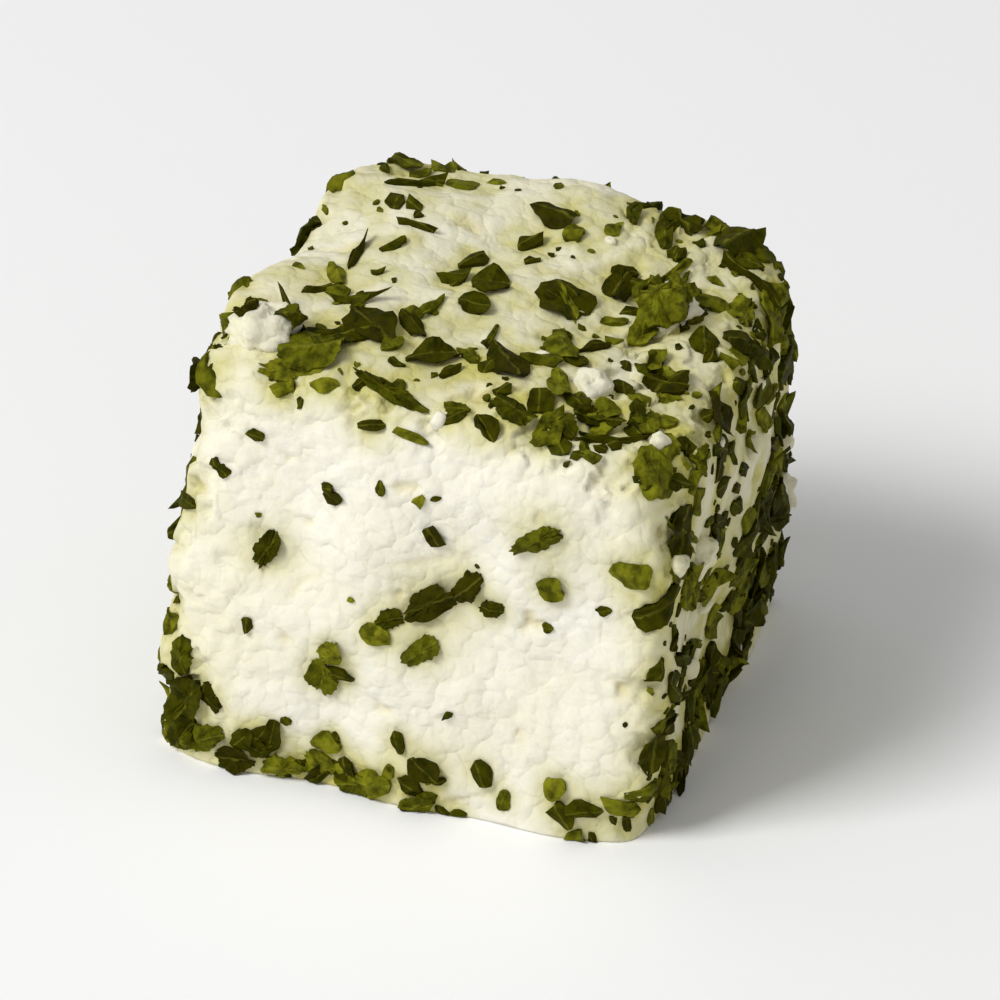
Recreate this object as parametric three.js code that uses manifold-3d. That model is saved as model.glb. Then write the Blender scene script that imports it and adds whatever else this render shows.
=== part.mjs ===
// One hand-cut cube of feta that was rolled in chopped herbs. It is a single solid: a block of
// cheese with slightly tilted cut faces, chipped and rounded edges and a lumpy skin, with the
// largest crumbs and herb flakes fused to it. Millimetres, +Z up, front face towards -Y, origin
// in the middle of the flat underside.
import * as THREE from "three";
import { mergeVertices } from "three/addons/utils/BufferGeometryUtils.js";
import Module from "manifold-3d";

// Block
const WIDTH = 20; // left to right
const DEPTH = 19.6; // front to back
const HEIGHT = 18; // underside to top
const HEART = new THREE.Vector3(0, 0, HEIGHT / 2); // every skin point is a distance from here
const EDGE_POWER = 18; // how squarely two faces meet: a higher power gives a tighter edge
const BASE_TRIM = 1.0; // how much of the underside's bulge the table flattens
const GRID_STEP = 1.35; // size of the block's facets

// Chips that broke off the edges and corners
const CHIPS = 16;
const CHIP_DEPTH = [0.3, 1.4]; // from the sharp box corner or edge inwards
const LOWEST_CHIP = -0.3; // upward part of its outward direction: the edges at the table are whole

// Lumps of the skin, as a sum of slow waves
const WAVES = 8;
const LONGEST_WAVE = 13;
const WAVE_RATIO = 0.84; // each wave is this much shorter than the last
const TALLEST_WAVE = 0.15;

// Crumbs of cheese stuck to the block
const CRUMBS = 6;
const CRUMB_SIZE = [1.4, 2.2];
const CRUMB_FORM = [1, 0.85, 0.72]; // along the skin, across it, and out of it
const CRUMB_BUMPS = 0.5; // share of the skin's lumps that a crumb has
const FIRST_CRUMB = 500; // the place in the even spread where they begin, past the flakes' own

// The two that stand on the top: place across and behind the middle, and size.
const TOP_CRUMBS = [
  { across: -6.9, behind: -6.6, size: 2.9 }, // near the front and left corner
  { across: 7.2, behind: 2.6, size: 3.2 }, // wrapped in a curled leaf
];

// Herb flakes, the largest first
const FLAKES = 118;
const LONGEST_FLAKE = 3.0;
const FLAKE_FALL = 60; // flakes until the length has fallen by a third
const FALL_POWER = 0.55; // how fast it goes on falling
const FLAKE_ASPECT = [0.4, 0.85]; // width over length
const FLAKE_SIDES = 7;
const FLAKE_JAG = 0.24; // how far the torn outline wanders, as a share of its radius
const FLAKE_RIM = 0.12; // height of the rim over the cheese
const FLAKE_CROWN = 0.3; // height of the curled middle over the cheese
const FLAKE_ROOT = 0.5; // depth that is pressed into the cheese
const BARE_HEM = 2.0; // no flake or crumb has its middle closer to the table than this
const CLUMPING = 0.5; // how much thicker or thinner than their share the herbs lie in places
const CLUMP_REACH = 40; // the lumps' waves at this distance are clumps about 3 mm wide
const CRUMB_COVER = 0.3; // crumbs stick where herbs cover at least this share

// The sparse front: place across and above the table, length, width, and turn in degrees.
const FRONT_FLAKES = [
  { across: -5.9, above: 10.1, length: 2.0, width: 1.1, turn: 60 },
  { across: -2.6, above: 6.5, length: 1.4, width: 1.0, turn: 50 },
  { across: -3.1, above: 5.2, length: 1.6, width: 1.1, turn: 80 },
  { across: 6.0, above: 13.2, length: 2.3, width: 0.9, turn: 35 },
  { across: 1.3, above: 9.2, length: 2.4, width: 1.4, turn: 30 },
  { across: 2.9, above: 10.2, length: 1.6, width: 1.1, turn: 45 },
  { across: 3.9, above: 9.4, length: 1.2, width: 0.8, turn: 0 },
  { across: -0.4, above: 8.2, length: 1.3, width: 0.7, turn: 20 },
  { across: 1.0, above: 7.1, length: 1.7, width: 1.1, turn: 40 },
  { across: -8.9, above: 2.7, length: 2.4, width: 1.7, turn: 70 },
];

const PROBE = 0.03; // half the step, in radians, over which the skin's slope is measured

// Cut faces: outward direction, distance from the heart, and the share of it that herbs cover.
const CUT_FACES = [
  { towards: [0.02, -1, 0.05], away: DEPTH / 2, herbs: 0.03 }, // front
  { towards: [1, 0.09, -0.07], away: WIDTH / 2, herbs: 0.62 }, // right, overhanging
  { towards: [-0.05, 1, 0.04], away: DEPTH / 2, herbs: 0.5 }, // back
  { towards: [-1, 0.03, 0.08], away: WIDTH / 2, herbs: 0.34 }, // left
  { towards: [0.05, -0.05, 1], away: HEIGHT / 2, herbs: 0.36 }, // top
  { towards: [0, 0, -1], away: HEIGHT / 2 + BASE_TRIM, herbs: 0 }, // underside
].map(({ towards, away, herbs }) => ({
  normal: new THREE.Vector3(...towards).normalize(),
  away,
  herbs,
}));
const OPEN_FACES = 5;

const GOLDEN_ANGLE = Math.PI * (3 - Math.sqrt(5));
const PLASTIC = 1.32471795724475; // its powers spread pairs of numbers evenly

const fraction = (x) => x - Math.floor(x);
const between = ([low, high], share) => low + (high - low) * share;

// Draw number k for item i, from 0 to 1, the same on every run: the late digits of a sine.
const draw = (i, k) => fraction(43758.5453 * Math.sin(12.9898 * (i + 1) + 78.233 * k));

// Point i of an even spiral round the unit sphere.
function spiral(i, count) {
  const z = 1 - (2 * i + 1) / count;
  const round = Math.sqrt(1 - z * z);
  return new THREE.Vector3(round * Math.cos(i * GOLDEN_ANGLE), round * Math.sin(i * GOLDEN_ANGLE), z);
}

// Each chip is one more flat face: a plane that faces along the spiral and lies a little inside
// the box's furthest point that way.
const allChips = Array.from({ length: CHIPS }, (_, i) => {
  const normal = spiral(i, CHIPS);
  const reach = (Math.abs(normal.x) * WIDTH + Math.abs(normal.y) * DEPTH + Math.abs(normal.z) * HEIGHT) / 2;
  return { normal, away: reach - between(CHIP_DEPTH, draw(i, 0)) };
});
const chips = allChips.filter(({ normal }) => normal.z > LOWEST_CHIP);

const waves = Array.from({ length: WAVES }, (_, i) => {
  const length = LONGEST_WAVE * WAVE_RATIO ** i;
  return {
    along: spiral(i, WAVES).multiplyScalar((2 * Math.PI) / length),
    height: TALLEST_WAVE * Math.sqrt(WAVE_RATIO ** i),
    phase: 2 * Math.PI * draw(i, 1),
  };
});

const lumps = (point) =>
  waves.reduce((sum, wave) => sum + wave.height * Math.sin(wave.along.dot(point) + wave.phase), 0);

// How strongly a direction belongs to a flat face.
const pull = (face, direction) => Math.max(0, face.normal.dot(direction) / face.away) ** EDGE_POWER;

// The skin: along each direction from the heart, the faces' distances are joined by a power mean,
// which rounds the edges, and the lumps are added. The table cuts the underside flat.
function skin(direction) {
  const pulls = [...CUT_FACES, ...chips].reduce((sum, face) => sum + pull(face, direction), 0);
  const radius = pulls ** (-1 / EDGE_POWER);
  const lump = lumps(direction.clone().multiplyScalar(radius));
  const point = direction.clone().multiplyScalar(radius + lump).add(HEART);
  point.z = Math.max(point.z, 0);
  return point;
}

// Two directions square to this one, for steps along the skin.
function sideways(direction) {
  const helper = Math.abs(direction.z) < 0.7 ? new THREE.Vector3(0, 0, 1) : new THREE.Vector3(0, 1, 0);
  const first = new THREE.Vector3().crossVectors(helper, direction).normalize();
  return [first, new THREE.Vector3().crossVectors(direction, first)];
}

// The skin's outward normal, from four skin points close round it.
function outward(direction) {
  const [first, second] = sideways(direction).map((side) => {
    const ahead = skin(direction.clone().addScaledVector(side, PROBE).normalize());
    return ahead.sub(skin(direction.clone().addScaledVector(side, -PROBE).normalize()));
  });
  return first.cross(second).normalize();
}

// Direction number i of an even spread over the five faces that herbs can reach.
function spread(i) {
  const face = i % OPEN_FACES;
  const turn = Math.floor(i / OPEN_FACES) + draw(face, 0);
  const u = fraction(turn / PLASTIC) - 0.5;
  const v = fraction(turn / PLASTIC ** 2) - 0.5;
  const places = [
    [u * WIDTH, -DEPTH / 2, v * HEIGHT],
    [WIDTH / 2, u * DEPTH, v * HEIGHT],
    [u * WIDTH, DEPTH / 2, v * HEIGHT],
    [-WIDTH / 2, u * DEPTH, v * HEIGHT],
    [u * WIDTH, v * DEPTH, HEIGHT / 2],
  ];
  return new THREE.Vector3(...places[face]).normalize();
}

// Share of the cheese that herbs cover: each face's own share, blended over the edges, and
// gathered into clumps by the same lumps that shape the skin.
function herbCover(direction) {
  const pulls = CUT_FACES.map((face) => pull(face, direction));
  const total = pulls.reduce((sum, value) => sum + value, 0);
  const cover = CUT_FACES.reduce((sum, face, i) => sum + (face.herbs * pulls[i]) / total, 0);
  const clump = lumps(direction.clone().multiplyScalar(CLUMP_REACH)) / TALLEST_WAVE;
  return cover * (1 + CLUMPING * Math.max(-1, Math.min(1, clump)));
}

let wasm;

// A closed three.js geometry as a solid that can be joined to others.
function solid(geometry) {
  const bare = geometry.clone();
  bare.deleteAttribute("normal");
  bare.deleteAttribute("uv");
  const merged = mergeVertices(bare, 1e-4);
  return new wasm.Manifold(
    new wasm.Mesh({
      numProp: 3,
      vertProperties: new Float32Array(merged.attributes.position.array),
      triVerts: new Uint32Array(merged.index.array),
    }),
  );
}

// The block: a box's grid of points, each pushed out to the skin along its own direction.
function block() {
  const [across, deep, high] = [WIDTH, DEPTH, HEIGHT].map((size) => Math.round(size / GRID_STEP));
  const geometry = new THREE.BoxGeometry(WIDTH, DEPTH, HEIGHT, across, deep, high);
  const points = geometry.attributes.position;
  const direction = new THREE.Vector3();
  for (let i = 0; i < points.count; i++) {
    direction.fromBufferAttribute(points, i).normalize();
    points.setXYZ(i, ...skin(direction));
  }
  return solid(geometry);
}

// A crumb: a squat, bumpy lump, half sunk in the skin.
function crumb(direction, size) {
  const geometry = new THREE.IcosahedronGeometry(size / 2, 1);
  const points = geometry.attributes.position;
  const point = new THREE.Vector3();
  for (let i = 0; i < points.count; i++) {
    point.fromBufferAttribute(points, i);
    point.setLength(size / 2 + CRUMB_BUMPS * lumps(point.clone().setLength(LONGEST_WAVE / 4)));
    points.setXYZ(i, ...point);
  }
  const up = outward(direction);
  geometry.scale(...CRUMB_FORM);
  geometry.applyMatrix4(new THREE.Matrix4().makeBasis(...sideways(up), up));
  geometry.translate(...skin(direction));
  return solid(geometry);
}

// A flake: a torn leaf outline laid over the skin, pressed in at its root and curled up in the
// middle. The seed tears its outline.
function flake({ direction, length, width, turn, seed }) {
  const middle = skin(direction);
  const up = outward(direction);
  const [right, ahead] = sideways(up);
  const onSkin = (x, y) => {
    const level = middle.clone().addScaledVector(right, x).addScaledVector(ahead, y).sub(HEART);
    return skin(level.normalize());
  };
  const rim = Array.from({ length: FLAKE_SIDES }, (_, corner) => {
    const angle = (2 * Math.PI * corner) / FLAKE_SIDES;
    const tear = 1 + FLAKE_JAG * (2 * draw(seed * FLAKE_SIDES + corner, 4) - 1);
    const x = (Math.cos(angle) * tear * length) / 2;
    const y = (Math.sin(angle) * tear * width) / 2;
    return onSkin(x * Math.cos(turn) - y * Math.sin(turn), x * Math.sin(turn) + y * Math.cos(turn));
  });
  const lifted = (points, height) => points.map((point) => point.clone().addScaledVector(up, height));
  const [crown, root] = [...lifted([middle], FLAKE_CROWN), ...lifted([middle], -FLAKE_ROOT)];
  const points = [...lifted(rim, FLAKE_RIM), ...lifted(rim, -FLAKE_ROOT), crown, root];
  const faces = rim.flatMap((_, corner) => {
    const next = (corner + 1) % FLAKE_SIDES;
    const [low, lowNext] = [corner + FLAKE_SIDES, next + FLAKE_SIDES];
    const [top, bottom] = [2 * FLAKE_SIDES, 2 * FLAKE_SIDES + 1];
    return [corner, next, top, lowNext, low, bottom, low, lowNext, next, low, next, corner];
  });
  return solid(new THREE.BufferGeometry().setFromPoints(points).setIndex(faces));
}

// The few flakes on the front, which have places of their own.
const frontFlakes = () =>
  FRONT_FLAKES.map(({ across, above, length, width, turn }, i) =>
    flake({
      direction: new THREE.Vector3(across, -DEPTH / 2, above - HEIGHT / 2).normalize(),
      length,
      width,
      turn: THREE.MathUtils.degToRad(turn),
      seed: -1 - i,
    }),
  );

// The flakes that the herb cover keeps, in the order of their size.
function spreadFlakes() {
  const kept = [];
  for (let i = 0; kept.length < FLAKES; i++) {
    const direction = spread(i);
    if (skin(direction).z < BARE_HEM || draw(i, 5) > herbCover(direction)) continue;
    const length = LONGEST_FLAKE / (1 + kept.length / FLAKE_FALL) ** FALL_POWER;
    const width = length * between(FLAKE_ASPECT, draw(i, 2));
    kept.push(flake({ direction, length, width, turn: 2 * Math.PI * draw(i, 3), seed: i }));
  }
  return kept;
}

// The crumbs on the top, and smaller ones where herbs lie thick.
function crumbs() {
  const made = TOP_CRUMBS.map(({ across, behind, size }) =>
    crumb(new THREE.Vector3(across, behind, HEIGHT / 2).normalize(), size),
  );
  for (let i = FIRST_CRUMB; made.length < CRUMBS; i++) {
    const direction = spread(i);
    if (skin(direction).z < BARE_HEM || herbCover(direction) < CRUMB_COVER) continue;
    made.push(crumb(direction, between(CRUMB_SIZE, draw(i, 6))));
  }
  return made;
}

// A solid's triangles as a three.js geometry.
function geometryOf(joined) {
  const mesh = joined.getMesh();
  return new THREE.BufferGeometry()
    .setAttribute("position", new THREE.BufferAttribute(mesh.vertProperties, 3))
    .setIndex(new THREE.BufferAttribute(mesh.triVerts, 1));
}

wasm = await Module();
wasm.setup();

const stuckOn = [...crumbs(), ...frontFlakes(), ...spreadFlakes()];
const fused = stuckOn.reduce((whole, piece) => whole.add(piece), block());

const cheese = new THREE.MeshStandardMaterial({ color: 0xeeead2, roughness: 0.6, metalness: 0 });
const cube = new THREE.Mesh(geometryOf(fused), cheese);
cube.name = "feta_cube";

const feta = new THREE.Group();
feta.add(cube);

export default feta;
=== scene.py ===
import bpy
import numpy as np
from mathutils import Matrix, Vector


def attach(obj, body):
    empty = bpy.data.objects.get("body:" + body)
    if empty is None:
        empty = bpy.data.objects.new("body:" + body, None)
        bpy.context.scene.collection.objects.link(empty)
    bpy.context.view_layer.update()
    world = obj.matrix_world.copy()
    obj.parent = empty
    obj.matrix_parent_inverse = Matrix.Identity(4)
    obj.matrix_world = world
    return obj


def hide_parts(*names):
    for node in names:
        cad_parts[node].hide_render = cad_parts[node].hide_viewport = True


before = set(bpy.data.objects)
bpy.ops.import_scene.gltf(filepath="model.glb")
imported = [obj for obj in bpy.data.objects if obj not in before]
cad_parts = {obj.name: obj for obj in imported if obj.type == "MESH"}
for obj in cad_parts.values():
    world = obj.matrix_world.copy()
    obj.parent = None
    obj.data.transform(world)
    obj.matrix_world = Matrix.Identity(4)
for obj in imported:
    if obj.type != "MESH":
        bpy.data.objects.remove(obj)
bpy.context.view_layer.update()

# The block: a two-centimetre cube of feta, cut by hand from a brined block, so its faces lie a little
# askew. Tumbling with the herbs has chipped its edges and rubbed them round. The knife leaves the
# faces close and smooth, with the small hollows that the curd had inside.
MM = 0.001
WIDTH = 20 * MM  # left to right
DEPTH = 19.6 * MM  # front to back
HEIGHT = 18 * MM  # underside to top
HEART = np.array([0, 0, HEIGHT / 2])  # every skin point is a distance from here
EDGE_POWER = 18  # how squarely two faces meet: a higher power gives a tighter edge
BASE_TRIM = 1.0 * MM  # how much of the underside's bulge the table flattens

CHIPS = 16
CHIP_DEPTH = (0.3 * MM, 1.4 * MM)  # from the sharp box corner or edge inwards
LOWEST_CHIP = -0.3  # upward part of its outward direction: the edges at the table are whole

WAVES = 8
LONGEST_WAVE = 13 * MM
WAVE_RATIO = 0.84  # each wave is this much shorter than the last
TALLEST_WAVE = 0.15 * MM

# Cut faces: outward direction, distance from the heart, and the share of it that herbs cover.
CUT_FACES = [
    ((0.02, -1, 0.05), DEPTH / 2, 0.03),  # front
    ((1, 0.09, -0.07), WIDTH / 2, 0.62),  # right, overhanging
    ((-0.05, 1, 0.04), DEPTH / 2, 0.5),  # back
    ((-1, 0.03, 0.08), WIDTH / 2, 0.34),  # left
    ((0.05, -0.05, 1), HEIGHT / 2, 0.36),  # top
    ((0, 0, -1), HEIGHT / 2 + BASE_TRIM, 0),  # underside
]
GOLDEN_ANGLE = np.pi * (3 - np.sqrt(5))
PROBE = 0.03  # half the step, in radians, over which a surface's slope is measured
STEEP = 0.7  # upward part from which a direction is too steep to be crossed with the vertical
EDGE_GAIN = 2.2  # how soon a point counts as on an edge

GRID = 128  # facets along each side of the cube, about 0.15 mm wide
CURD_SIZE = 3.0 * MM  # the curd's soft lumps, which break up into grains
CURD_HEIGHT = 0.045 * MM
CURD_SEED = 34  # a seed is the number of the first of the draws that a roughness takes
BREAK_SIZE = 2.6 * MM  # the bits that are missing along the edges
BREAK_DEPTH = 0.32 * MM
BREAK_SEED = 24
BREAK_FROM = 0.25  # how high the roughness has to stand before a bit is missing
BREAK_FULL = 0.7  # and where it is missing to its full depth
RUBBLE_SIZE = 1.2 * MM  # the broken curd that they bare
RUBBLE_HEIGHT = 0.05 * MM
RUBBLE_ON_EDGES = 0.4  # how much of it shows along the whole edges
RUBBLE_SEED = 44
SEAM_SPACING = 5.5 * MM  # between the faint seams where curds were pressed together
SEAM_SHARE = 0.07  # of that spacing, half a seam's width
SEAM_DEPTH = 0.1 * MM
SEAM_HOLLOW_SHADE = 0.4  # how far it has the painted shade of a hollow
SEAM_LINE_SEED = 28
SEAM_GAP_SEED = 30
PITS = 80
FIRST_PIT = 9000  # the place in the even spread where they begin
PIT_SIZE = (0.45 * MM, 1.1 * MM)
PIT_STRETCH = (1, 2.6)  # length over width
PIT_DEPTH = 0.4  # of its size
PIT_RIM = 2.2  # how sharp its rim is: a higher power gives a steeper one
PIT_STRAY = 0.25  # how far the rim strays from an oval
PIT_STRAY_SIZE = 0.7 * MM
PIT_SEED = 32
HOLLOW_SHADE_DEPTH = 0.3 * MM  # depth at which a pit has the full painted shade of a hollow
HEM_FADE = 0.6 * MM  # the relief dies out this close to the table


def unit(vectors):
    """Vectors of length one."""
    return vectors / np.linalg.norm(vectors, axis=-1, keepdims=True)


def fraction(values):
    """What is left of each number after its whole part."""
    return values - np.floor(values)


def between(limits, share):
    """The number that lies that share of the way from the low limit to the high one."""
    return limits[0] + (limits[1] - limits[0]) * share


def draw(i, k):
    """Draw number k for item i, from 0 to 1, the same on every run: the late digits of a sine."""
    return fraction(43758.5453 * np.sin(12.9898 * (i + 1) + 78.233 * k))


def spiral(i, count):
    """Point i of an even spiral round the unit sphere, one golden angle further at each equal step down."""
    z = 1 - (2 * i + 1) / count
    level = np.sqrt(1 - z * z)
    return np.stack([level * np.cos(i * GOLDEN_ANGLE), level * np.sin(i * GOLDEN_ANGLE), z], axis=-1)


face_normals = unit(np.array([towards for towards, away, herbs in CUT_FACES], float))
face_away = np.array([away for towards, away, herbs in CUT_FACES])
face_herbs = np.array([herbs for towards, away, herbs in CUT_FACES])

# Each chip is one more flat face that lies a little inside the box's furthest point that way.
chip_normals = spiral(np.arange(CHIPS), CHIPS)
chip_reach = np.abs(chip_normals) @ np.array([WIDTH, DEPTH, HEIGHT]) / 2
chip_away = chip_reach - between(CHIP_DEPTH, draw(np.arange(CHIPS), 0))
free = chip_normals[:, 2] > LOWEST_CHIP
flat_normals = np.vstack([face_normals, chip_normals[free]])
flat_away = np.concatenate([face_away, chip_away[free]])

wave_shrink = WAVE_RATIO ** np.arange(WAVES)
wave_along = spiral(np.arange(WAVES), WAVES) * (2 * np.pi / (LONGEST_WAVE * wave_shrink))[:, None]
wave_height = TALLEST_WAVE * np.sqrt(wave_shrink)
wave_phase = 2 * np.pi * draw(np.arange(WAVES), 1)


def lumps(points):
    """Height of the slow lumps at each point: a sum of sine waves."""
    return np.sin(points @ wave_along.T + wave_phase) @ wave_height


def pulls(directions, normals, away):
    """How strongly each direction belongs to each flat face: its cosine over the face's distance, raised to
    a power."""
    return np.maximum(0, directions @ normals.T / away) ** EDGE_POWER


def skin(directions):
    """Points of the block's skin: the faces' distances joined by a power mean, which rounds the edges,
    with the lumps added, and cut flat by the table."""
    radius = pulls(directions, flat_normals, flat_away).sum(-1) ** (-1 / EDGE_POWER)
    radius = radius + lumps(directions * radius[..., None])
    points = HEART + directions * radius[..., None]
    points[..., 2] = np.maximum(points[..., 2], 0)
    return points


def sideways(directions):
    """Two directions square to each one, for steps along a surface."""
    level = np.abs(directions[..., 2:]) < STEEP
    helper = np.where(level, np.array([0, 0, 1.0]), np.array([0, 1.0, 0]))
    first = unit(np.cross(helper, directions))
    return first, np.cross(directions, first)


def outward(surface, directions):
    """A surface's outward normals, from four of its points close round each one."""
    steps = []
    for side in sideways(directions):
        ahead = surface(unit(directions + PROBE * side))
        steps.append(ahead - surface(unit(directions - PROBE * side)))
    return unit(np.cross(steps[0], steps[1]))


def ripples(points, length, seed):
    """Roughness with no grain to it: sine waves of about one length, spread evenly over all directions and
    shifted by draws, added up to a usual height of one."""
    count = 24
    shares = (0.7, 1.4)
    numbers = np.arange(count)
    lengths = length * between(shares, draw(numbers, seed))
    along = spiral(numbers, count) * (2 * np.pi / lengths)[:, None]
    phase = 2 * np.pi * draw(numbers, seed + 1)
    return np.sin(points @ along.T + phase).sum(-1) * np.sqrt(2 / count)


def rubble(points, coarse, seed):
    """Roughness of many sizes: four sets of ripples, each about half as long and as high as the last."""
    shrink = 0.55
    sets = range(4)
    layers = [shrink**k * ripples(points, coarse * shrink**k, seed + 2 * k) for k in sets]
    return sum(layers) / np.sqrt(sum(shrink ** (2 * k) for k in sets))


def breaks(directions, points):
    """How near an edge each point lies, and how deep a bit is missing there, both from 0 to 1. An edge is
    where no one flat face leads, and the bits go where the roughness stands high along it."""
    held = pulls(directions, flat_normals, flat_away)
    edge = np.clip(EDGE_GAIN * (1 - held.max(-1) / held.sum(-1)), 0, 1)
    missing = np.clip((rubble(points, BREAK_SIZE, BREAK_SEED) - BREAK_FROM) / (BREAK_FULL - BREAK_FROM), 0, 1)
    return edge, missing * edge


def crust(directions):
    """Points of the cheese that herbs and crumbs lie on: the skin with the curd's soft lumps, less the bits
    that broke off its edges. Both die out at the table."""
    points = skin(directions)
    edge, broken = breaks(directions, points)
    relief = CURD_HEIGHT * rubble(points, CURD_SIZE, CURD_SEED) - BREAK_DEPTH * broken
    relief = relief * np.clip(points[..., 2] / HEM_FADE, 0, 1)
    points = points + directions * relief[..., None]
    points[..., 2] = np.maximum(points[..., 2], 0)
    return points


def cube_grid(steps):
    """Directions and quads of a cube whose sides are grids, with the points along its edges shared."""
    u, v = np.meshgrid(np.arange(steps + 1), np.arange(steps + 1), indexing="ij")
    sheets = []
    for axis in range(3):
        for level in (0, steps):
            sheet = np.empty((steps + 1, steps + 1, 3), int)
            sheet[..., axis] = level
            sheet[..., (axis + 1) % 3] = u if level else v
            sheet[..., (axis + 2) % 3] = v if level else u
            sheets.append(sheet)
    places, index = np.unique(np.reshape(sheets, (-1, 3)), axis=0, return_inverse=True)
    index = index.reshape(6, steps + 1, steps + 1)
    corners = index[:, :-1, :-1], index[:, 1:, :-1], index[:, 1:, 1:], index[:, :-1, 1:]
    quads = np.stack(corners, axis=-1).reshape(-1, 4)
    return unit((places / steps - 0.5) * np.array([WIDTH, DEPTH, HEIGHT])), quads


PLASTIC = 1.32471795724475  # its powers spread pairs of numbers evenly
OPEN_FACES = 5  # all but the underside


def spread(i):
    """Direction number i of an even spread over the five open faces: each face in turn takes the next pair
    of numbers, stepped by the powers of the plastic number."""
    face = i % OPEN_FACES
    turn = i // OPEN_FACES + draw(face, 0)
    u = fraction(turn / PLASTIC) - 0.5
    v = fraction(turn / PLASTIC**2) - 0.5
    half = np.full(len(i), 0.5)
    places = np.array([(u, -half, v), (half, u, v), (u, half, v), (-half, u, v), (u, v, half)])
    place = places[face, :, np.arange(len(i))]
    return unit(place * np.array([WIDTH, DEPTH, HEIGHT]))


def piece(name, points, faces, material, crease=None):
    """A new mesh object at the origin, smooth, or smooth up to a crease angle in degrees."""
    mesh = bpy.data.meshes.new(name)
    mesh.from_pydata(points, [], faces)
    mesh.shade_smooth()
    if crease:
        mesh.set_sharp_from_angle(angle=np.radians(crease))
    mesh.materials.append(material)
    made = bpy.data.objects.new(name, mesh)
    bpy.context.scene.collection.objects.link(made)
    return made


def mark(made, name, values):
    """Keeps one number for each point of a piece, for its material to read."""
    attribute = made.data.attributes.new(name, "FLOAT", "POINT")
    attribute.data.foreach_set("value", np.asarray(values, np.float32))


def linear(code):
    """An sRGB hex colour as linear red, green, blue and full alpha."""
    value = np.array([int(code[i : i + 2], 16) for i in (1, 3, 5)]) / 255
    bent = np.where(value > 0.04045, ((value + 0.055) / 1.055) ** 2.4, value / 12.92)
    return (*bent, 1)


def add(tree, kind, inputs, **settings):
    """Adds a node, makes its settings, then sets or links its inputs by their name or number."""
    node = tree.nodes.new("ShaderNode" + kind)
    for name, value in settings.items():
        setattr(node, name, value)
    for name, value in inputs.items():
        if isinstance(value, bpy.types.NodeSocket):
            tree.links.new(value, node.inputs[name])
        else:
            node.inputs[name].default_value = value
    return node


def feta_cheese():
    """Feta: white brined curd, cut. Moist, close and slightly see-through, so light softens inside it, and
    the eye sees ivory with faint yellow clouds, uneven rounded curds with a fine grain, and a low, broken
    gloss. The pits and seams carry painted shade, a darker and yellower colour. The herbs' stain goes deepest
    in the seams between the curds, and it is laid on deeper as painted warm shade where herbs lie thick."""
    ivory = linear("#F4F1E5")
    cloud = linear("#F0EBD5")
    painted_hollow_shade = linear("#E6DDB8")
    stain_and_shade = linear("#BEB74C")
    cloud_size = 6 * MM
    curd_size = 0.8 * MM
    bend_size = 1.0 * MM
    bend_reach = 0.9 * MM
    grain_size = 0.3 * MM
    material = bpy.data.materials.new("feta_cheese")
    material.use_nodes = True
    tree = material.node_tree
    tree.nodes.clear()
    place = add(tree, "TexCoord", {}).outputs["Object"]
    clouds = add(tree, "TexNoise", {"Vector": place, "Scale": 1 / cloud_size, "Detail": 4.0})
    bends = add(tree, "TexNoise", {"Vector": place, "Scale": 1 / bend_size, "Detail": 2.0})
    bent = add(
        tree,
        "VectorMath",
        {0: bends.outputs["Color"], 1: (bend_reach, bend_reach, bend_reach), 2: place},
        operation="MULTIPLY_ADD",
    )
    curds = add(tree, "TexVoronoi", {"Vector": bent.outputs[0], "Scale": 1 / curd_size})
    round_curds = add(tree, "Math", {0: curds.outputs["Distance"], 1: 2.0}, operation="POWER")
    grains = add(tree, "TexNoise", {"Vector": place, "Scale": 1 / grain_size, "Detail": 1.5})
    stain_and_shade_share = add(tree, "Attribute", {}, attribute_name="herb_stain_and_shade").outputs["Fac"]
    hollow_shading = add(tree, "Attribute", {}, attribute_name="painted_hollow_shade").outputs["Fac"]
    cloudy = add(tree, "MapRange", {"Value": clouds.outputs["Fac"], "From Min": 0.35, "From Max": 0.7})
    seams = add(
        tree,
        "MapRange",
        {
            "Value": curds.outputs["Distance"],
            "From Min": 0.15,
            "From Max": 0.75,
            "To Min": 0.7,
            "To Max": 1.05,
        },
    )
    colour = add(tree, "Mix", {0: cloudy.outputs[0], 6: ivory, 7: cloud}, data_type="RGBA")
    # Painted shade: the pits and seams are coloured darker and yellower, as far as they are hollowed.
    colour = add(tree, "Mix", {0: hollow_shading, 6: colour.outputs[2], 7: painted_hollow_shade}, data_type="RGBA")
    # Herb stain together with painted warm shade, deepest in the seams between the curds.
    seeped_stain_and_shade = add(tree, "Math", {0: stain_and_shade_share, 1: seams.outputs[0]}, operation="MULTIPLY")
    colour = add(tree, "Mix", {0: seeped_stain_and_shade.outputs[0], 6: colour.outputs[2], 7: stain_and_shade}, data_type="RGBA")
    gloss = add(
        tree, "MapRange", {"Value": grains.outputs["Fac"], "From Min": 0.3, "To Min": 0.45, "To Max": 0.7}
    )
    lumpy = add(
        tree,
        "Bump",
        {"Height": round_curds.outputs[0], "Strength": 0.8, "Distance": 0.16 * MM},
        invert=True,
    )
    grainy = add(
        tree,
        "Bump",
        {"Height": grains.outputs["Fac"], "Strength": 0.7, "Distance": 0.07 * MM, "Normal": lumpy.outputs[0]},
    )
    shader = add(
        tree,
        "BsdfPrincipled",
        {
            "Base Color": colour.outputs[2],
            "Roughness": gloss.outputs[0],
            "Normal": grainy.outputs[0],
            "IOR": 1.42,
            "Specular IOR Level": 0.35,
            "Subsurface Weight": 0.35,
            "Subsurface Radius": (1.0, 0.85, 0.55),
            "Subsurface Scale": 0.2 * MM,
        },
    )
    add(tree, "OutputMaterial", {"Surface": shader.outputs[0]})
    return material


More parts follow.
